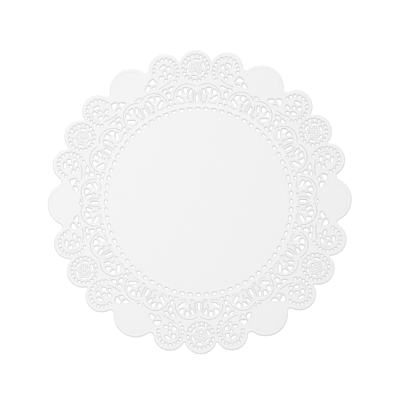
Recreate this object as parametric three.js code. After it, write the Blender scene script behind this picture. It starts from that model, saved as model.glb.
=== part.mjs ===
// A round paper-lace doily: one sheet with 24 scallops round a plain middle.
// Millimetres, +Z up. The sheet lies on z = 0 with its middle at the origin.
//
// The design repeats six times. Each sixth has a plain scallop on its axis, a scallop with a round
// rosette half way to the next axis, and a leaning rosette on either side between them. Within the
// scallops run a band of lace with twelve repeats and a ring of 72 short slits.
import * as THREE from 'three';

// The sheet
const DIAMETER = 304.8;
const THICKNESS = 1.0;
const SIXTHS = 6;
const BAND_REPEATS = 12;

// The scallops of one sixth in order: degrees from the plain scallop's axis, the radius of the edge,
// and the radius that rounds the notch after it
const LEAN_ANGLE = 16.8;
const ROUND_ANGLE = 180 / SIXTHS;
const SCALLOPS = [
  { angle: 0, radius: 22.4, notch: 3.0 },
  { angle: LEAN_ANGLE, radius: 16.5, notch: 0.7 },
  { angle: ROUND_ANGLE, radius: 16.5, notch: 0.7 },
  { angle: 2 * ROUND_ANGLE - LEAN_ANGLE, radius: 16.5, notch: 3.0 },
];
const SCALLOP_STEPS = 12;
const NOTCH_STEPS = 4;

// The perforated bands were pressed a little clockwise of the scallops
const BAND_TURN = -0.55;
const SLIT_TURN = -0.87;

// Ring of slits at the edge of the plain middle
const SLIT_COUNT = 72;
const SLIT_RING_RADIUS = 92.8;
const SLIT = { long: 4.3, wide: 2.0 };

// A slot is a narrow opening with pointed ends. across is measured from the axis of its repeat,
// out from the middle of the doily, and turn in degrees from across toward out.
const SLOT_END_STEPS = 2;
const WINDOW_EASE = 0.7;

// One slot on the axis of each repeat of the band, where two medallions overlap
const AXIS_SLOT = { across: 0, out: 104.3, long: 7.2, wide: 2.1, turn: 90 };

// The fan of openings in each medallion of the band, a medallion lying on either side of the axis
const FAN_SLOTS = [
  { across: 6.75, out: 110.0, long: 5.4, wide: 1.9, turn: 110 },
  { across: 17.1, out: 103.1, long: 7.7, wide: 2.4, turn: 31 },
];
const FAN_WINDOWS = [
  [[9.5, 113.9], [13.8, 113.7], [13.1, 109.6], [11.0, 109.6]],
  [[16.2, 112.5], [18.6, 111.2], [20.0, 108.9], [17.7, 107.1], [15.4, 107.5]],
];

// Openings of the column between two pairs of medallions, across toward the round rosette
const COLUMN_WINDOWS = [
  [[-1.7, 112.6], [1.7, 112.6], [1.0, 108.5], [-1.0, 108.5]],
  [[1.4, 117.1], [7.2, 117.5], [3.5, 114.1]],
];

// Openings beside the root of each plain scallop
const ROOT_WINDOWS = [
  [[24.2, 128.6], [19.2, 127.7], [19.7, 125.5], [25.6, 122.7]],
  [[17.9, 124.2], [16.3, 125.5], [11.9, 122.4], [13.2, 121.1], [16.4, 121.4]],
];

// Petals of the leaning rosette, across toward the plain scallop
const LEANING_PETALS = [
  { across: 1.2, out: 139.4, long: 5.8, wide: 2.4, turn: -20 },
  { across: -3.4, out: 129.1, long: 4.4, wide: 3.1, turn: -33 },
  { across: 5.1, out: 129.3, long: 4.3, wide: 2.1, turn: 0 },
];

// Six petals round the middle of the round rosette
const ROSETTE_CENTRE_RADIUS = 133.6;
const ROSETTE_TURN = -8;
const PETAL_COUNT = 6;
const PETAL_RING_RADIUS = 8.4;
const PETAL = { long: 5.7, wide: 1.8 };

const radians = THREE.MathUtils.degToRad;

// The point across and out from the middle of the doily, in the repeat whose axis is at angle.
// Across is anticlockwise with side 1, and clockwise with side -1.
function pointOf(angle, side, across, out) {
  return new THREE.Vector2(out, side * across).rotateAround(new THREE.Vector2(), radians(angle));
}

function polarPoint(angle, radius) {
  return pointOf(angle, 1, 0, radius);
}

function arcPoints(centre, radius, from, to, steps) {
  const clockwise = to < from;
  return new THREE.EllipseCurve(centre.x, centre.y, radius, radius, from, to, clockwise).getPoints(steps);
}

function slotOutline({ across, out, long, wide, turn }) {
  const half = wide / 2;
  const straight = long / 2 - half;
  const firstEnd = arcPoints(new THREE.Vector2(straight, 0), half, -Math.PI / 2, Math.PI / 2, SLOT_END_STEPS);
  const secondEnd = arcPoints(new THREE.Vector2(-straight, 0), half, Math.PI / 2, Math.PI * 1.5, SLOT_END_STEPS);
  const origin = new THREE.Vector2();
  const place = new THREE.Vector2(across, out);
  return [...firstEnd, ...secondEnd].map((point) => point.rotateAround(origin, radians(turn)).add(place));
}

// A window is an opening with straight sides, each corner cut back by the ease
function windowOutline(corners) {
  const points = corners.map(([across, out]) => new THREE.Vector2(across, out));
  return points.flatMap((corner, index) => {
    const before = points.at(index - 1);
    const after = points[(index + 1) % points.length];
    return [before, after].map((next) => {
      const step = next.clone().sub(corner).setLength(WINDOW_EASE);
      return step.add(corner);
    });
  });
}

function placed(outline, angle, side) {
  return outline.map((point) => pointOf(angle, side, point.x, point.y));
}

// The same outlines on both sides of an axis
function mirrored(outlines, angle) {
  return outlines.flatMap((outline) => [placed(outline, angle, 1), placed(outline, angle, -1)]);
}

function bandOpenings() {
  const fan = [...FAN_SLOTS.map(slotOutline), ...FAN_WINDOWS.map(windowOutline)];
  const openings = [];
  for (let repeat = 0; repeat < BAND_REPEATS; repeat++) {
    const angle = (repeat * 360) / BAND_REPEATS + BAND_TURN;
    openings.push(placed(slotOutline(AXIS_SLOT), angle, 1), ...mirrored(fan, angle));
  }
  return openings;
}

function columnOpenings() {
  const windows = COLUMN_WINDOWS.map(windowOutline);
  const openings = [];
  for (let sixth = 0; sixth < SIXTHS; sixth++) {
    const roundAxis = sixthAngle(sixth) + ROUND_ANGLE + BAND_TURN;
    const half = 180 / BAND_REPEATS;
    for (const opening of windows) {
      openings.push(placed(opening, roundAxis - half, 1), placed(opening, roundAxis + half, -1));
    }
  }
  return openings;
}

function rootOpenings() {
  const windows = ROOT_WINDOWS.map(windowOutline);
  return sixthAngles().flatMap((angle) => mirrored(windows, angle));
}

function leaningRosetteOpenings() {
  const petals = LEANING_PETALS.map(slotOutline);
  return sixthAngles().flatMap((angle) => petals.flatMap((petal) => [
    placed(petal, angle + LEAN_ANGLE, -1),
    placed(petal, angle - LEAN_ANGLE, 1),
  ]));
}

function roundRosetteOpenings() {
  const petal = slotOutline({ ...PETAL, across: 0, out: PETAL_RING_RADIUS, turn: 0 });
  return sixthAngles().flatMap((angle) => {
    const axis = angle + ROUND_ANGLE;
    const centre = polarPoint(axis, ROSETTE_CENTRE_RADIUS);
    return Array.from({ length: PETAL_COUNT }, (_, index) => {
      const direction = axis + ROSETTE_TURN + (index * 360) / PETAL_COUNT;
      return placed(petal, direction, 1).map((point) => point.add(centre));
    });
  });
}

function slitOpenings() {
  const slit = slotOutline({ ...SLIT, across: 0, out: SLIT_RING_RADIUS, turn: 0 });
  return Array.from({ length: SLIT_COUNT }, (_, index) => placed(slit, (index * 360) / SLIT_COUNT + SLIT_TURN, 1));
}

function sixthAngle(index) {
  return (index * 360) / SIXTHS;
}

function sixthAngles() {
  return Array.from({ length: SIXTHS }, (_, index) => sixthAngle(index));
}

// The scallops in order round the doily, each touching the full diameter from inside
function scallops() {
  return sixthAngles().flatMap((axis) => SCALLOPS.map(({ angle, radius, notch }) => ({
    radius,
    notch,
    centre: polarPoint(axis + angle, DIAMETER / 2 - radius),
  })));
}

// The middle of the small arc that rounds the notch between two scallops, outside both of them
function notchCentre(first, second, notchRadius) {
  const line = second.centre.clone().sub(first.centre);
  const distance = line.length();
  const fromFirst = first.radius + notchRadius;
  const fromSecond = second.radius + notchRadius;
  const along = (fromFirst ** 2 - fromSecond ** 2 + distance ** 2) / (2 * distance);
  const outward = Math.sqrt(fromFirst ** 2 - along ** 2);
  const direction = line.normalize();
  const normal = new THREE.Vector2(direction.y, -direction.x);
  return first.centre.clone().addScaledVector(direction, along).addScaledVector(normal, outward);
}

function directionTo(from, to) {
  return Math.atan2(to.y - from.y, to.x - from.x);
}

// The edge of the doily: an arc for each scallop, and a small arc the other way for each notch
function edgeOutline() {
  const ring = scallops();
  const fullTurn = Math.PI * 2;
  const notches = ring.map((scallop, index) => {
    const next = ring[(index + 1) % ring.length];
    return { radius: scallop.notch, centre: notchCentre(scallop, next, scallop.notch) };
  });
  return ring.flatMap((scallop, index) => {
    const before = notches.at(index - 1);
    const after = notches[index];
    const next = ring[(index + 1) % ring.length];
    const from = directionTo(scallop.centre, before.centre);
    const sweep = THREE.MathUtils.euclideanModulo(directionTo(scallop.centre, after.centre) - from, fullTurn);
    const edge = arcPoints(scallop.centre, scallop.radius, from, from + sweep, SCALLOP_STEPS);
    const notchFrom = directionTo(after.centre, scallop.centre);
    const notchTo = directionTo(after.centre, next.centre);
    const notchSweep = THREE.MathUtils.euclideanModulo(notchFrom - notchTo, fullTurn);
    const notch = arcPoints(after.centre, after.radius, notchFrom, notchFrom - notchSweep, NOTCH_STEPS);
    return [...edge, ...notch.slice(1, -1)];
  });
}

function doily() {
  const shape = new THREE.Shape(edgeOutline());
  const openings = [
    ...slitOpenings(),
    ...bandOpenings(),
    ...columnOpenings(),
    ...rootOpenings(),
    ...leaningRosetteOpenings(),
    ...roundRosetteOpenings(),
  ];
  shape.holes = openings.map((points) => new THREE.Path(points));
  const geometry = new THREE.ExtrudeGeometry(shape, { depth: THICKNESS, bevelEnabled: false });
  const paper = new THREE.MeshStandardMaterial({ color: 0xf3f3f3, roughness: 0.85, metalness: 0 });
  const sheet = new THREE.Mesh(geometry, paper);
  sheet.name = 'doily';
  return sheet;
}

const part = new THREE.Group();
part.add(doily());

export default part;
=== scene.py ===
# A round paper-lace doily, die-cut and embossed from one sheet of white paper, lying flat.
# The tables give millimetres and degrees.
import math
from collections import namedtuple

import bmesh
import bpy
from mathutils import Matrix, Vector


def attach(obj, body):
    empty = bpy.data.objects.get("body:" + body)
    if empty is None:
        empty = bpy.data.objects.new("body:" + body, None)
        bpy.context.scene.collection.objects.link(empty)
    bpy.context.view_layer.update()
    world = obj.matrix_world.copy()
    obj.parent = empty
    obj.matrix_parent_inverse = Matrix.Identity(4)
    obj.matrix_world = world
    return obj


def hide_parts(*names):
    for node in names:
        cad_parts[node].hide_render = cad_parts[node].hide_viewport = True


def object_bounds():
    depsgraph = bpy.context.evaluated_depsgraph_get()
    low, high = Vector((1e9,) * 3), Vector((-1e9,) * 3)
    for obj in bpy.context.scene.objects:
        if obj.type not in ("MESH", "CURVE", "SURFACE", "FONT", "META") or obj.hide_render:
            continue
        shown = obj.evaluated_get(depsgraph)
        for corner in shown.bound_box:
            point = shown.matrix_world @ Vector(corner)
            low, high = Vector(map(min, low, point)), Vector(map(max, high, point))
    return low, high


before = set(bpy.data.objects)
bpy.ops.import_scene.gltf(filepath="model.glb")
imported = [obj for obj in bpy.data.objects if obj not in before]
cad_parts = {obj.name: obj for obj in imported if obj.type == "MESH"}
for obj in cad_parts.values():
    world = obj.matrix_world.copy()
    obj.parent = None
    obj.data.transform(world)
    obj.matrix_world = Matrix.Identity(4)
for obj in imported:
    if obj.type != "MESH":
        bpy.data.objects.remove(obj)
CAD_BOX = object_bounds()

bl_info = {
    "name": "Paper Doily",
    "version": (1, 0, 0),
    "blender": (4, 5, 0),
    "location": "View3D > Sidebar > Doily",
    "description": "Builds an embossed paper-lace doily and the plain stage that it lies on",
    "category": "Object",
}

MM = 0.001

# Layout of the lace. The sheet repeats six times round, and the perforated bands were pressed a
# little clockwise of the scallops.
DIAMETER = 304.8
SIXTHS = 6
SIXTH = 360 / SIXTHS
LEAN_ANGLE = 16.8
ROUND_ANGLE = SIXTH / 2
COLUMN_ANGLE = SIXTH / 4
BAND_TURN = -0.55
SLIT_TURN = -0.87
SLITS_A_SIXTH = 12

# Each scallop's circle touches the full diameter from inside. notch is the radius that rounds the
# corner after it.
Scallop = namedtuple("Scallop", "angle radius notch")
SCALLOPS = (
    Scallop(angle=0, radius=22.4, notch=3.0),
    Scallop(angle=LEAN_ANGLE, radius=16.5, notch=0.7),
    Scallop(angle=ROUND_ANGLE, radius=16.5, notch=0.7),
    Scallop(angle=SIXTH - LEAN_ANGLE, radius=16.5, notch=3.0),
)

# Openings. across is measured from the axis of a repeat, out from the middle of the doily, and
# turn from across toward out. rim is the width of the pressed paper round the opening.
Slot = namedtuple("Slot", "across out long wide turn rim")
Window = namedtuple("Window", "corners ease rim")

SLIT = Window(
    corners=((-2.05, 93.7), (2.05, 93.7), (1.45, 91.8), (-1.45, 91.8)),
    ease=0.7,
    rim=1.1,
)
BAND_MIDDLE = (Slot(across=0, out=104.3, long=7.2, wide=2.1, turn=90, rim=1.2),)
BAND_SIDES = (
    Slot(across=6.75, out=110.0, long=5.4, wide=1.9, turn=110, rim=1.3),
    Slot(across=17.1, out=103.1, long=7.7, wide=2.4, turn=31, rim=0.9),
    Slot(across=6.75, out=99.1, long=1.5, wide=1.5, turn=0, rim=1.2),
    Window(
        corners=((9.5, 113.9), (13.8, 113.7), (13.1, 109.6), (11.0, 109.6)),
        ease=0.7,
        rim=1.2,
    ),
    Window(
        corners=((16.2, 112.5), (18.6, 111.2), (20.0, 108.9), (17.7, 107.1), (15.4, 107.5)),
        ease=0.7,
        rim=0.9,
    ),
)
PLAIN_AXIS = (Slot(across=0, out=118.5, long=2.4, wide=1.5, turn=0, rim=0.8),)
COLUMN = (
    Window(
        corners=((-1.7, 112.6), (1.7, 112.6), (1.0, 108.5), (-1.0, 108.5)),
        ease=0.8,
        rim=1.2,
    ),
    Window(corners=((1.4, 117.1), (7.2, 117.5), (3.5, 114.1)), ease=0.8, rim=1.1),
    Window(
        corners=((-1.3, 105.3), (1.3, 105.3), (1.0, 102.4), (-1.0, 102.4)),
        ease=0.8,
        rim=1.1,
    ),
    Slot(across=-2.75, out=115.7, long=4.2, wide=1.7, turn=18, rim=1.2),
    Slot(across=-2.85, out=99.4, long=2.6, wide=1.8, turn=0, rim=1.1),
    Slot(across=2.85, out=99.4, long=2.6, wide=1.8, turn=0, rim=1.1),
)
ROOT = (
    Window(
        corners=((24.2, 128.6), (19.2, 127.7), (19.7, 125.5), (25.6, 122.7)),
        ease=0.9,
        rim=1.2,
    ),
    Window(
        corners=((17.9, 124.2), (16.3, 125.5), (11.9, 122.4), (13.2, 121.1), (16.4, 121.4)),
        ease=0.6,
        rim=1.2,
    ),
    Window(
        corners=((23.4, 120.7), (20.8, 121.4), (19.1, 120.7), (20.1, 119.4)),
        ease=0.5,
        rim=1.0,
    ),
)
LEANING_PETALS = (
    Slot(across=1.2, out=139.4, long=5.5, wide=2.1, turn=-20, rim=1.2),
    Slot(across=-3.4, out=129.1, long=4.3, wide=2.8, turn=-33, rim=1.1),
    Slot(across=5.1, out=129.3, long=4.2, wide=1.9, turn=0, rim=1.3),
    Slot(across=1.25, out=125.6, long=2.8, wide=1.8, turn=-30, rim=1.1),
    Slot(across=0.6, out=133.5, long=3.2, wide=1.6, turn=97, rim=1.2),
    Window(
        corners=((-5.9, 135.4), (-5.0, 138.3), (-3.4, 138.5), (-2.3, 135.6), (-4.0, 134.6)),
        ease=0.7,
        rim=1.1,
    ),
)

# Rings of slots round a rosette's middle. first is the direction of the first slot, pitch the step
# to the next, and turn is from the line out of the rosette's middle. bulge is how much further out
# the ring runs toward the doily's edge and toward its middle. spread is how much wider the rims are
# along the ring than across it, and drift how much further out their feet are than the slots.
SlotRing = namedtuple(
    "SlotRing",
    "across out radius bulge first pitch count long wide turn rim spread drift",
)
LEANING_RIM = SlotRing(
    across=-0.4, out=133.0, radius=12.0, bulge=1.3, first=7.8, pitch=18.9, count=13,
    long=2.3, wide=1.6, turn=0, rim=0.9, spread=1.25, drift=0,
)
ROUND_RIM = SlotRing(
    across=0, out=133.85, radius=12.65, bulge=0, first=4.8, pitch=20, count=18,
    long=2.1, wide=1.65, turn=0, rim=0.8, spread=1.6, drift=0,
)
ROUND_PETALS = SlotRing(
    across=0, out=133.6, radius=8.3, bulge=0, first=22, pitch=60, count=6,
    long=5.3, wide=1.4, turn=90, rim=0.9, spread=1, drift=0.3,
)
# The rosettes were pressed a little clockwise too
LEANING_TURN = 2.2

# A flower of bosses round the middle of the round rosette, with a hole in place of the last
FLOWER_HOLE = Slot(across=-0.5, out=129.6, long=1.8, wide=1.8, turn=0, rim=0.8)
FLOWER_MIDDLE = (0, 133.7)
FLOWER_RADIUS = 4.95
FLOWER_FIRST = -54
FLOWER_PITCH = 45
FLOWER_BOSSES = 7
FLOWER_BOSS_RADIUS = 1.65
FLOWER_HEART_RADIUS = 2.0

# The pressed lines. A profile is read outwards from the middle of its arc: how far, how high above
# the flat paper, and how crushed and shaded, from 0 to 1. That is the grey of crushed fibres together
# with painted shade in the pressed grooves. Below 0 the paper is painted lighter, a painted highlight
# on the raised lines.
MEDALLION_PROFILE = (
    (12.35, 0, 0),
    (12.9, 0.2, -0.6),
    (13.45, -0.28, 1),
    (14.3, -0.28, 1),
    (14.8, 0.12, -0.5),
    (15.2, 0, 0),
)
OVERLAP_PROFILE = ((13.2, 0, 0), (13.5, -0.25, 1), (14.3, -0.25, 1), (14.6, 0, 0))
FAN_PROFILE = ((5.2, 0, 0), (5.55, -0.22, 0.9), (6.2, -0.22, 0.9), (6.6, 0, 0))
GROOVE_PROFILE = ((7.8, 0, 0), (8.2, -0.2, 0.7), (8.8, -0.2, 0.7), (9.2, 0, 0))
STEM_PROFILE = (
    (32.2, 0, 0),
    (32.55, 0.1, -0.4),
    (33.0, -0.26, 0.9),
    (33.8, -0.26, 0.9),
    (34.25, 0.1, -0.4),
    (34.6, 0, 0),
)
LIP_PROFILE = ((17.0, 0, 0), (18.1, -0.12, 0.12), (19.2, 0, 0))
BORDER_PROFILE = ((95.5, 0, 0), (96.4, 0.1, -0.15), (97.3, 0, 0))

# Embossed arcs, from one direction round to another in steps of this length. Every second step is
# pressed only as much as beads says, which makes beads where it is below 1.
ARC_STEP = 1.5
Arc = namedtuple("Arc", "across out start end beads profile")
BAND_ARCS = (
    Arc(across=9.8, out=104.0, start=-12, end=130, beads=0.75, profile=MEDALLION_PROFILE),
    Arc(across=9.8, out=104.0, start=147, end=203, beads=0.6, profile=OVERLAP_PROFILE),
    Arc(across=15.9, out=103.6, start=212, end=322, beads=0.35, profile=FAN_PROFILE),
)
LEANING_ARCS = (
    Arc(across=-0.4, out=133.0, start=138, end=222, beads=0.5, profile=GROOVE_PROFILE),
    Arc(across=13.7, out=152.4, start=237, end=266, beads=1, profile=STEM_PROFILE),
)
PLAIN_ARCS = (Arc(across=0, out=130.0, start=25, end=155, beads=1, profile=LIP_PROFILE),)

# Round marks. Their profiles are read inwards from the foot: share of the radius, how high, and how
# crushed and shaded, with painted shade in the dimples and round the bosses, and a painted highlight
# on the boss tops below 0.
BOSS = ((0.15, -0.15, 1), (0.2, -0.15, 1), (0.2, 0.2, -0.6))
DOME = ((0.5, 0.2, -0.15),)
DIMPLE = ((0.3, -0.2, 1),)
Dot = namedtuple("Dot", "across out radius profile")
BAND_DOTS = (
    Dot(across=12.3, out=105.4, radius=1.8, profile=DOME),
    Dot(across=9.5, out=105.3, radius=1.0, profile=DIMPLE),
    Dot(across=8.8, out=103.1, radius=1.0, profile=DIMPLE),
)
PLAIN_AXIS_DOTS = (
    Dot(across=-2.95, out=118.6, radius=0.85, profile=DIMPLE),
    Dot(across=2.95, out=118.6, radius=0.85, profile=DIMPLE),
)

# The rolled edge, from the cut inwards: how far, how high, how crushed. This includes painted shade on the
# rolled-down slope and, below 0, a painted highlight on the crest.
EDGE_PROFILE = ((0, -0.48, 0.15), (0.75, -0.4, 0.5), (1.65, 0.18, -0.2), (2.15, 0, 0))

# The rim of an opening. RIM_CUT is how high the cut stands and how crushed it is. The rings that
# follow outwards are the share of the rim's width, how high, how crushed. Crushed here also means
# painted shade: the rim round each opening is painted greyer as a dark ring of shade.
RIM_CUT = (-0.42, 0.3)
RIM_PROFILE = ((0.35, -0.3, 0.65), (0.45, -0.03, 0.65), (0.2, 0, 0))
CLOSE_RIM_PROFILE = ((0.35, -0.32, 0.6), (0.35, -0.15, 0.8), (0.3, 0, 0))

# How finely round shapes are cut: the sides of a small one and of a large one, the length of slot
# and radius of mark from which it is a large one, the degrees of each step round a scallop and a
# notch, the steps of the border in one sixth, and the sides of the floor
SMALL_SIDES = 8
LARGE_SIDES = 10
LARGE_SLOT = 3
LARGE_DOT = 1
SCALLOP_STEP = 5
NOTCH_STEP = 24
BORDER_STEPS = 24
FLOOR_SIDES = 96

# Points this close are one point, and paper this near to height 0 is flat
JOIN_DISTANCE = 0.01
FLAT_HEIGHT = 1e-6

# The grain of the paper, in metres: how wide its clouds of fibre and its tooth are, and how deep
# the tooth is
FIBRE_CLOUD = 3 * MM
PAPER_TOOTH = 0.2 * MM
TOOTH_DEPTH = 0.02 * MM


def linear(hex_colour):
    """Linear red, green and blue from sRGB hex."""
    channels = [int(hex_colour[at : at + 2], 16) / 255 for at in (1, 3, 5)]
    return tuple(c / 12.92 if c <= 0.04045 else ((c + 0.055) / 1.055) ** 2.4 for c in channels)


class DoilySheetSettings(bpy.types.PropertyGroup):
    diameter: bpy.props.FloatProperty(
        name="Diameter",
        description="Full width over the scallops",
        default=CAD_BOX[1][0] - CAD_BOX[0][0],
        min=0.1,
        unit="LENGTH",
    )
    thickness: bpy.props.FloatProperty(
        name="Thickness",
        description="Thickness of the paper",
        default=0.12 * MM,
        min=0.05 * MM,
        precision=5,
        unit="LENGTH",
    )
    level: bpy.props.FloatProperty(
        name="Level",
        description="Height of the flat paper above the table",
        default=0.68 * MM,
        precision=5,
        unit="LENGTH",
    )
    emboss: bpy.props.FloatProperty(
        name="Embossing",
        description="Depth of the raised and sunk lines, 1 being as pressed",
        default=1.0,
        min=0.0,
        max=1.2,
        subtype="FACTOR",
    )
    paper_colour: bpy.props.FloatVectorProperty(
        name="Paper",
        description="Colour of the bleached paper",
        default=linear("#E7E7E7"),
        min=0.0,
        max=1.0,
        subtype="COLOR",
    )
    # The crushed colour is partly the grey of crushed fibres and partly painted shade in the grooves and
    # round the cuts.
    crush_and_painted_shade_colour: bpy.props.FloatVectorProperty(
        name="Crushed paper and painted shade",
        description="Colour where the die has crushed the fibres",
        default=linear("#CDCDCD"),
        min=0.0,
        max=1.0,
        subtype="COLOR",
    )


class DoilyStageSettings(bpy.types.PropertyGroup):
    floor_width: bpy.props.FloatProperty(
        name="Floor width",
        description="Width of the plain round floor",
        default=12.0,
        min=1.0,
        unit="LENGTH",
    )
    floor_colour: bpy.props.FloatVectorProperty(
        name="Floor",
        description="Colour of the plain floor",
        default=linear("#FCFCFC"),
        min=0.0,
        max=1.0,
        subtype="COLOR",
    )
    softbox_power: bpy.props.FloatProperty(
        name="Softbox",
        description="Power of the wide softbox overhead",
        default=5.5,
        min=0.0,
        unit="POWER",
    )
    key_strength: bpy.props.FloatProperty(
        name="Key light",
        description="Strength of the slanting light from beyond the doily",
        default=1.8,
        min=0.0,
    )
    room_light: bpy.props.FloatProperty(
        name="Room light",
        description="Strength of the even light from all round",
        default=0.26,
        min=0.0,
    )


def repeat_matrix(angle, side):
    """Turns across and out in the repeat at this angle into the doily's own x and y."""
    swap = Matrix(((0, 1, 0, 0), (side, 0, 0, 0), (0, 0, 1, 0), (0, 0, 0, 1)))
    return Matrix.Rotation(math.radians(angle), 4, "Z") @ swap


def press(bm, verts, height, crush_and_painted_light):
    """Set how high some of the paper stands, and how crushed it is: greyer for crushed fibres and painted
    shade, lighter below 0 as a painted highlight.
    """
    layer = bm.verts.layers.float["crush_and_painted_light"]
    for vert in verts:
        vert.co.z = height
        vert[layer] = crush_and_painted_light


def slot_face(bm, slot):
    """A circle pulled out into a slot."""
    segments = LARGE_SIDES if slot.long > LARGE_SLOT else SMALL_SIDES
    start = Matrix.Rotation(math.pi / segments, 4, "Z")
    radius = slot.wide / 2
    circle = bmesh.ops.create_circle(bm, cap_ends=True, segments=segments, radius=radius, matrix=start)
    verts = circle["verts"]
    pull = Vector(((slot.long - slot.wide) / 2, 0, 0))
    bmesh.ops.translate(bm, verts=[vert for vert in verts if vert.co.x > 0], vec=pull)
    bmesh.ops.translate(bm, verts=[vert for vert in verts if vert.co.x < 0], vec=-pull)
    turn = Matrix.Rotation(math.radians(slot.turn), 4, "Z")
    place = Matrix.Translation((slot.across, slot.out, 0)) @ turn
    bmesh.ops.transform(bm, matrix=place, verts=verts)
    return verts[0].link_faces[0]


def window_face(bm, window):
    """A face with straight sides and eased corners."""
    corners = [bm.verts.new((across, out, 0)) for across, out in window.corners]
    bm.faces.new(corners)
    eased = bmesh.ops.bevel(
        bm,
        geom=corners,
        offset=window.ease,
        offset_type="OFFSET",
        affect="VERTICES",
        segments=2,
        profile=0.5,
        material=-1,
    )
    return eased["verts"][0].link_faces[0]


def press_rings(bm, face, width, profile, drift=0):
    """Press rings inwards from the outline of a face, or outwards where width is negative. The face
    ends inside or outside them all, and drifts across by this much on the way."""
    verts = list(face.verts)
    for share, height, crush_and_painted_light in profile:
        bmesh.ops.inset_individual(bm, faces=[face], thickness=share * width, use_even_offset=True)
        bmesh.ops.translate(bm, verts=face.verts, vec=(share * drift, 0, 0))
        press(bm, face.verts, height, crush_and_painted_light)
        verts += face.verts
    return verts


def cut_opening(bm, opening, place, profile=RIM_PROFILE, drift=0, flare=0):
    """Cut an opening, and let the paper round it slope up to the flat sheet. flare is how much wider
    it gets for each millimetre across."""
    face = slot_face(bm, opening) if isinstance(opening, Slot) else window_face(bm, opening)
    height, crush_and_painted_light = RIM_CUT
    press(bm, face.verts, height, crush_and_painted_light)
    verts = press_rings(bm, face, -opening.rim, profile, drift)
    bmesh.ops.delete(bm, geom=[face], context="FACES_ONLY")
    if flare:
        for vert in verts:
            vert.co.y *= 1 + (vert.co.x - opening.across) * flare
    bmesh.ops.transform(bm, matrix=place, verts=verts)


def cut_slot_ring(bm, ring, place):
    """Slots round a rosette. Where they stand close, they widen outwards like the ring, and the paper
    between them is crushed all the way, painted greyer there as painted shade between the slots."""
    close = ring.spread > 1
    profile = CLOSE_RIM_PROFILE if close else RIM_PROFILE
    flare = 1 / ring.radius if close else 0
    # Each slot is cut narrow, and then spread together with its rim
    wide = ring.wide / ring.spread
    slot = Slot(across=ring.radius, out=0, long=ring.long, wide=wide, turn=ring.turn, rim=ring.rim)
    spread = Matrix.Scale(ring.spread, 4, (0, 1, 0))
    centre = Matrix.Translation((ring.across, ring.out, 0))
    for index in range(ring.count):
        direction = math.radians(ring.first + index * ring.pitch)
        further = Matrix.Translation((ring.bulge * math.sin(direction) ** 2, 0, 0))
        turn = Matrix.Rotation(direction, 4, "Z")
        cut_opening(bm, slot, place @ centre @ turn @ further @ spread, profile, ring.drift, flare)


def profile_line(bm, centre, direction, profile):
    """The vertices and edges of a profile, set out from a centre in one direction."""
    verts = []
    for distance, height, crush_and_painted_light in profile:
        vert = bm.verts.new(centre + direction * distance)
        press(bm, [vert], height, crush_and_painted_light)
        verts.append(vert)
    edges = [bm.edges.new(pair) for pair in zip(verts, verts[1:])]
    return verts + edges


def spin_profile(bm, line, centre, degrees, steps):
    """Sweep a profile round a centre, and return it where it ends."""
    swept = bmesh.ops.spin(
        bm,
        geom=line,
        cent=centre,
        axis=(0, 0, 1),
        dvec=(0, 0, 0),
        angle=math.radians(degrees),
        steps=steps,
        use_merge=False,
        use_duplicate=False,
    )
    return swept["geom_last"]


def press_profile(bm, line, centre, profile, share):
    """Press a profile again where it stands, as this share of its full depth."""
    verts = [vert for vert in line if isinstance(vert, bmesh.types.BMVert)]
    verts.sort(key=lambda vert: (vert.co.xy - centre.xy).length)
    for vert, (_, height, crush_and_painted_light) in zip(verts, profile):
        press(bm, [vert], height * share, crush_and_painted_light * share)


def emboss_arc(bm, arc, place):
    """A raised or sunk line. It dies away into the flat paper at both ends."""
    centre = place @ Vector((arc.across, arc.out, 0))
    direction = place @ Matrix.Rotation(math.radians(arc.start), 4, "Z") @ Vector((1, 0, 0))
    sweep = arc.end - arc.start
    steps = round(math.radians(sweep) * arc.profile[0][0] / ARC_STEP)
    line = profile_line(bm, centre, direction, arc.profile)
    press_profile(bm, line, centre, arc.profile, 0)
    for step in range(1, steps + 1):
        line = spin_profile(bm, line, centre, sweep / steps * place.determinant(), 1)
        if step < steps:
            press_profile(bm, line, centre, arc.profile, arc.beads if step % 2 == 0 else 1)
        else:
            press_profile(bm, line, centre, arc.profile, 0)


def emboss_dot(bm, dot, place):
    """A round boss or dimple."""
    segments = SMALL_SIDES if dot.radius < LARGE_DOT else LARGE_SIDES
    centre = place @ Matrix.Translation((dot.across, dot.out, 0))
    circle = bmesh.ops.create_circle(bm, cap_ends=True, segments=segments, radius=dot.radius, matrix=centre)
    press_rings(bm, circle["verts"][0].link_faces[0], dot.radius, dot.profile)


def stamp_slits(bm):
    """The ring of short slits round the plain middle."""
    for index in range(SLITS_A_SIXTH):
        angle = index * SIXTH / SLITS_A_SIXTH + SLIT_TURN
        cut_opening(bm, SLIT, repeat_matrix(angle, 1))


def stamp_band(bm):
    """Two pairs of overlapping medallions with their fans, and the marks below the plain scallop."""
    for angle in (BAND_TURN, ROUND_ANGLE + BAND_TURN):
        for opening in BAND_MIDDLE:
            cut_opening(bm, opening, repeat_matrix(angle, 1))
        for side in (1, -1):
            place = repeat_matrix(angle, side)
            for opening in BAND_SIDES:
                cut_opening(bm, opening, place)
            for arc in BAND_ARCS:
                emboss_arc(bm, arc, place)
            for dot in BAND_DOTS:
                emboss_dot(bm, dot, place)
    place = repeat_matrix(BAND_TURN, 1)
    for opening in PLAIN_AXIS:
        cut_opening(bm, opening, place)
    for dot in PLAIN_AXIS_DOTS:
        emboss_dot(bm, dot, place)


def stamp_columns(bm):
    """The openings between two pairs of medallions, across toward the round rosette."""
    for angle, side in ((COLUMN_ANGLE, 1), (SIXTH - COLUMN_ANGLE, -1)):
        place = repeat_matrix(angle + BAND_TURN, side)
        for opening in COLUMN:
            cut_opening(bm, opening, place)


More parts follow.
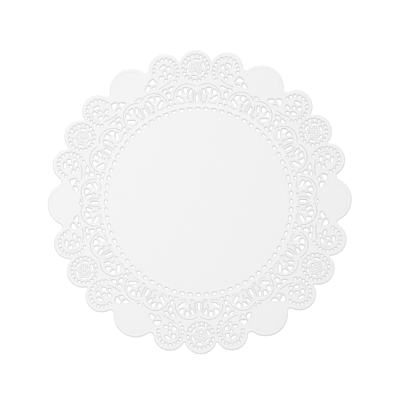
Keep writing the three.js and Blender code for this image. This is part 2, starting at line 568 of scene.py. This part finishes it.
def stamp_scallops(bm):
    """The plain scallop with the openings beside its root, and the three rosettes."""
    for arc in PLAIN_ARCS:
        emboss_arc(bm, arc, repeat_matrix(0, 1))
    for side in (1, -1):
        for opening in ROOT:
            cut_opening(bm, opening, repeat_matrix(0, side))
    for angle, side in ((LEAN_ANGLE, -1), (SIXTH - LEAN_ANGLE, 1)):
        place = repeat_matrix(angle, side)
        for opening in LEANING_PETALS:
            cut_opening(bm, opening, place)
        for arc in LEANING_ARCS:
            emboss_arc(bm, arc, place)
        first = LEANING_RIM.first + side * LEANING_TURN
        cut_slot_ring(bm, LEANING_RIM._replace(first=first), place)
    place = repeat_matrix(ROUND_ANGLE, -1)
    cut_slot_ring(bm, ROUND_PETALS, place)
    cut_slot_ring(bm, ROUND_RIM, place)
    stamp_flower(bm, place)


def stamp_flower(bm, place):
    """The flower of bosses in the round rosette, with its one hole."""
    across, out = FLOWER_MIDDLE
    cut_opening(bm, FLOWER_HOLE, place)
    emboss_dot(bm, Dot(across, out, FLOWER_HEART_RADIUS, BOSS), place)
    for index in range(FLOWER_BOSSES):
        direction = math.radians(FLOWER_FIRST + index * FLOWER_PITCH)
        boss_across = across + FLOWER_RADIUS * math.cos(direction)
        boss_out = out + FLOWER_RADIUS * math.sin(direction)
        emboss_dot(bm, Dot(boss_across, boss_out, FLOWER_BOSS_RADIUS, BOSS), place)


def repeat_round(bm):
    """Copy the first sixth round the doily, and join the copies where the long lines meet."""
    bmesh.ops.spin(
        bm,
        geom=bm.verts[:] + bm.edges[:] + bm.faces[:],
        cent=(0, 0, 0),
        axis=(0, 0, 1),
        dvec=(0, 0, 0),
        angle=math.radians(360 - SIXTH),
        steps=SIXTHS - 1,
        use_merge=False,
        use_duplicate=True,
    )
    bmesh.ops.remove_doubles(bm, verts=bm.verts, dist=JOIN_DISTANCE)


def scallop_centre(scallop, sixth):
    """The middle of a scallop's circle, in this sixth of the doily."""
    direction = Matrix.Rotation(math.radians(sixth * SIXTH + scallop.angle), 3, "Z")
    return direction @ Vector((DIAMETER / 2 - scallop.radius, 0, 0))


def notch_centre(first, first_radius, second, second_radius, notch):
    """The middle of the small arc that rounds the notch between two scallops, outside both."""
    line = second - first
    from_first = first_radius + notch
    from_second = second_radius + notch
    along = (from_first**2 - from_second**2 + line.length_squared) / (2 * line.length)
    outward = math.sqrt(from_first**2 - along**2)
    direction = line.normalized()
    return first + direction * along + Vector((direction.y, -direction.x, 0)) * outward


def turn_between(first, second):
    """Degrees from one direction anticlockwise to another."""
    angle = math.atan2(second.y, second.x) - math.atan2(first.y, first.x)
    return math.degrees(angle) % 360


def stamp_edge(bm):
    """Roll the edge's profile round each scallop, and the other way round each notch."""
    centres = [scallop_centre(scallop, 0) for scallop in SCALLOPS]
    before = scallop_centre(SCALLOPS[-1], -1)
    after = scallop_centre(SCALLOPS[0], 1)
    centres = [before, *centres, after]
    ring = [SCALLOPS[-1], *SCALLOPS, SCALLOPS[0]]
    notches = [
        notch_centre(centres[at], ring[at].radius, centres[at + 1], ring[at + 1].radius, ring[at].notch)
        for at in range(len(ring) - 1)
    ]
    profile = [(ring[1].radius - inside, height, crush_and_painted_light) for inside, height, crush_and_painted_light in EDGE_PROFILE]
    line = profile_line(bm, centres[1], (notches[0] - centres[1]).normalized(), profile)
    for at in range(1, len(ring) - 1):
        sweep = turn_between(notches[at - 1] - centres[at], notches[at] - centres[at])
        line = spin_profile(bm, line, centres[at], sweep, round(sweep / SCALLOP_STEP))
        back = turn_between(centres[at + 1] - notches[at], centres[at] - notches[at])
        line = spin_profile(bm, line, notches[at], -back, max(2, round(back / NOTCH_STEP)))


def stamp_border(bm):
    """The raised ring between the slits and the medallions."""
    origin = Vector((0, 0, 0))
    line = profile_line(bm, origin, Vector((1, 0, 0)), BORDER_PROFILE)
    spin_profile(bm, line, origin, SIXTH, BORDER_STEPS)


def fill_flat_paper(bm):
    """Fill what is left between the pressed shapes with flat paper, with a crisp crease round each."""
    rims = [edge for edge in bm.edges if edge.is_boundary]
    creases = [edge for edge in rims if all(abs(vert.co.z) < FLAT_HEIGHT for vert in edge.verts)]
    bmesh.ops.triangle_fill(bm, use_beauty=True, use_dissolve=False, edges=creases, normal=(0, 0, 1))
    for edge in rims:
        edge.smooth = False
    bmesh.ops.recalc_face_normals(bm, faces=bm.faces)
    if sum(face.normal.z for face in bm.faces) < 0:
        bmesh.ops.reverse_faces(bm, faces=bm.faces)


def stamp_sheet():
    """The whole sheet in millimetres, its flat paper at height 0."""
    bm = bmesh.new()
    bm.verts.layers.float.new("crush_and_painted_light")
    stamp_slits(bm)
    stamp_band(bm)
    stamp_columns(bm)
    stamp_scallops(bm)
    stamp_border(bm)
    stamp_edge(bm)
    repeat_round(bm)
    fill_flat_paper(bm)
    return bm


def add_node(tree, kind, inputs, **settings):
    """Add a node with its settings, and set or link its inputs."""
    node = tree.nodes.new(kind)
    for name, value in settings.items():
        setattr(node, name, value)
    for name, value in inputs.items():
        if isinstance(value, bpy.types.NodeSocket):
            tree.links.new(value, node.inputs[name])
        else:
            node.inputs[name].default_value = value
    return node


def new_material(name):
    """A material with an empty node tree."""
    material = bpy.data.materials.new(name)
    material.use_nodes = True
    material.node_tree.nodes.clear()
    return material


def lace_paper_material(settings):
    """Bleached wood-pulp paper, die-cut and embossed. It is matt and faintly cloudy from uneven
    fibres, with a fine tooth, and smoother and greyer where the die has crushed it. The grey also
    stands for painted shade in the grooves and round the cuts. Below 0 the colour is pushed past
    the paper's own, a painted highlight on the raised lines."""
    material = new_material("Bleached wood-pulp paper, die-cut and embossed")
    tree = material.node_tree
    place = add_node(tree, "ShaderNodeTexCoord", {}).outputs["Object"]
    crush_and_painted_light = add_node(tree, "ShaderNodeAttribute", {}, attribute_name="crush_and_painted_light").outputs["Fac"]
    clouds = add_node(
        tree,
        "ShaderNodeTexNoise",
        {"Vector": place, "Scale": 1 / FIBRE_CLOUD, "Detail": 4},
    )
    tooth = add_node(
        tree,
        "ShaderNodeTexNoise",
        {"Vector": place, "Scale": 1 / PAPER_TOOTH, "Detail": 2},
    )
    # Crush values above 0 paint the paper greyer, for crushed fibres and painted shade. Below 0 the
    # unclamped mix paints it lighter, a painted highlight on raised lines.
    colour = add_node(
        tree,
        "ShaderNodeMix",
        {0: crush_and_painted_light, 6: (*settings.paper_colour, 1), 7: (*settings.crush_and_painted_shade_colour, 1)},
        data_type="RGBA",
        clamp_factor=False,
    )
    cloud_tone = add_node(
        tree,
        "ShaderNodeMapRange",
        {"Value": clouds.outputs["Fac"], "From Min": 0.3, "From Max": 0.7, "To Min": 0.985, "To Max": 1.0},
    )
    toned = add_node(
        tree,
        "ShaderNodeMix",
        {0: 1.0, 6: colour.outputs[2], 7: cloud_tone.outputs["Result"]},
        data_type="RGBA",
        blend_type="MULTIPLY",
    )
    bump = add_node(
        tree,
        "ShaderNodeBump",
        {"Height": tooth.outputs["Fac"], "Strength": 0.25, "Distance": TOOTH_DEPTH},
    )
    gloss = add_node(tree, "ShaderNodeMapRange", {"Value": crush_and_painted_light, "To Min": 0.85, "To Max": 0.6})
    shader = add_node(
        tree,
        "ShaderNodeBsdfPrincipled",
        {
            "Base Color": toned.outputs[2],
            "Roughness": gloss.outputs["Result"],
            "IOR": 1.47,
            "Specular IOR Level": 0.3,
            "Normal": bump.outputs["Normal"],
        },
    )
    add_node(tree, "ShaderNodeOutputMaterial", {"Surface": shader.outputs["BSDF"]})
    return material


def white_table_material(settings):
    """Matt white board, plain and a little glossier than the paper."""
    material = new_material("White painted board")
    tree = material.node_tree
    shader = add_node(
        tree,
        "ShaderNodeBsdfPrincipled",
        {"Base Color": (*settings.floor_colour, 1), "Roughness": 0.7, "Specular IOR Level": 0.2},
    )
    add_node(tree, "ShaderNodeOutputMaterial", {"Surface": shader.outputs["BSDF"]})
    return material


def object_from(bm, name):
    """Turn a finished bmesh into an object in the scene."""
    mesh = bpy.data.meshes.new(name)
    bm.to_mesh(mesh)
    bm.free()
    piece = bpy.data.objects.new(name, mesh)
    bpy.context.scene.collection.objects.link(piece)
    return piece


class DOILY_OT_make_sheet(bpy.types.Operator):
    """Stamp the doily from one sheet of paper"""

    bl_idname = "doily.make_sheet"
    bl_label = "Make Paper Sheet"

    def execute(self, context):
        settings = context.scene.doily_sheet
        bm = stamp_sheet()
        flat_area = sum(face.calc_area() * face.normal.z for face in bm.faces)
        scale = settings.diameter / DIAMETER
        bmesh.ops.scale(bm, vec=(scale, scale, settings.emboss * MM), verts=bm.verts)
        bmesh.ops.translate(bm, vec=(0, 0, settings.level), verts=bm.verts)
        for face in bm.faces:
            face.smooth = True
        sheet = object_from(bm, "doily_sheet")
        sheet.data.materials.append(lace_paper_material(settings))
        paper = sheet.modifiers.new("Paper thickness", "SOLIDIFY")
        paper.thickness = settings.thickness
        paper.offset = -1
        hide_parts("doily")
        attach(sheet, "root")
        return {"FINISHED"}


# A softbox overhead, and a key that slants in from beyond the doily, in metres
SOFTBOX_PLACE = Vector((-0.16, 0.08, 0.95))
SOFTBOX_WIDTH = 0.9
KEY_PLACE = Vector((0.05, 1.0, 1.0))
KEY_SPREAD = math.radians(15)

# The camera looks almost straight down, leaning a little from the right, with the doily turned
# a little anticlockwise in the picture. Its height, the point of the table in the middle of the
# picture, and how much of the table is seen are in metres, its lean and roll in degrees.
CAMERA_HEIGHT = 0.6
CAMERA_LEAN = 2.3
CAMERA_ROLL = -1.05
CAMERA_AIM = Vector((1.9 * MM, 1.8 * MM, 0))
VIEW_WIDTH = 0.4


def add_light(name, kind, strength, place):
    """A light at a place, aimed at the middle of the doily."""
    light = bpy.data.lights.new(name, kind)
    light.energy = strength
    lamp = bpy.data.objects.new(name, light)
    lamp.location = place
    lamp.rotation_euler = place.to_track_quat("Z", "Y").to_euler()
    bpy.context.scene.collection.objects.link(lamp)
    return light


def add_camera():
    """The camera at the photo's viewing angle."""
    data = bpy.data.cameras.new("camera")
    data.lens = data.sensor_width * CAMERA_HEIGHT / VIEW_WIDTH
    camera = bpy.data.objects.new("camera", data)
    roll = Matrix.Rotation(math.radians(CAMERA_ROLL), 4, "Z")
    lean = Matrix.Rotation(math.radians(CAMERA_LEAN), 4, "Y")
    back = Matrix.Translation((0, 0, CAMERA_HEIGHT))
    camera.matrix_world = Matrix.Translation(CAMERA_AIM) @ roll @ lean @ back
    bpy.context.scene.collection.objects.link(camera)
    return camera


class DOILY_OT_set_stage(bpy.types.Operator):
    """Lay the floor, and set the lights and the camera"""

    bl_idname = "doily.set_stage"
    bl_label = "Set Stage"

    def execute(self, context):
        scene = context.scene
        settings = scene.doily_stage
        bm = bmesh.new()
        bmesh.ops.create_circle(bm, cap_ends=True, segments=FLOOR_SIDES, radius=settings.floor_width / 2)
        floor = object_from(bm, "floor")
        floor.data.materials.append(white_table_material(settings))
        add_light("softbox", "AREA", settings.softbox_power, SOFTBOX_PLACE).size = SOFTBOX_WIDTH
        add_light("key", "SUN", settings.key_strength, KEY_PLACE).angle = KEY_SPREAD
        world = bpy.data.worlds.new("Room")
        world.use_nodes = True
        room = world.node_tree.nodes["Background"]
        room.inputs["Color"].default_value = (1, 1, 1, 1)
        room.inputs["Strength"].default_value = settings.room_light
        scene.world = world
        scene.view_settings.view_transform = "Standard"
        scene.camera = add_camera()
        return {"FINISHED"}


class DOILY_PT_tools(bpy.types.Panel):
    """Everything that makes the doily and its stage"""

    bl_label = "Paper Doily"
    bl_space_type = "VIEW_3D"
    bl_region_type = "UI"
    bl_category = "Doily"

    def draw(self, context):
        layout = self.layout
        scene = context.scene
        for settings in (scene.doily_sheet, scene.doily_stage):
            box = layout.box()
            for name in settings.__annotations__:
                box.prop(settings, name)
        layout.operator(DOILY_OT_make_sheet.bl_idname)
        layout.operator(DOILY_OT_set_stage.bl_idname)


CLASSES = (
    DoilySheetSettings,
    DoilyStageSettings,
    DOILY_OT_make_sheet,
    DOILY_OT_set_stage,
    DOILY_PT_tools,
)


def register():
    for cls in CLASSES:
        bpy.utils.register_class(cls)
    bpy.types.Scene.doily_sheet = bpy.props.PointerProperty(type=DoilySheetSettings)
    bpy.types.Scene.doily_stage = bpy.props.PointerProperty(type=DoilyStageSettings)


def unregister():
    del bpy.types.Scene.doily_stage
    del bpy.types.Scene.doily_sheet
    for cls in reversed(CLASSES):
        bpy.utils.unregister_class(cls)


def main():
    register()
    bpy.ops.doily.make_sheet()
    bpy.ops.doily.set_stage()


if __name__ == "__main__":
    main()
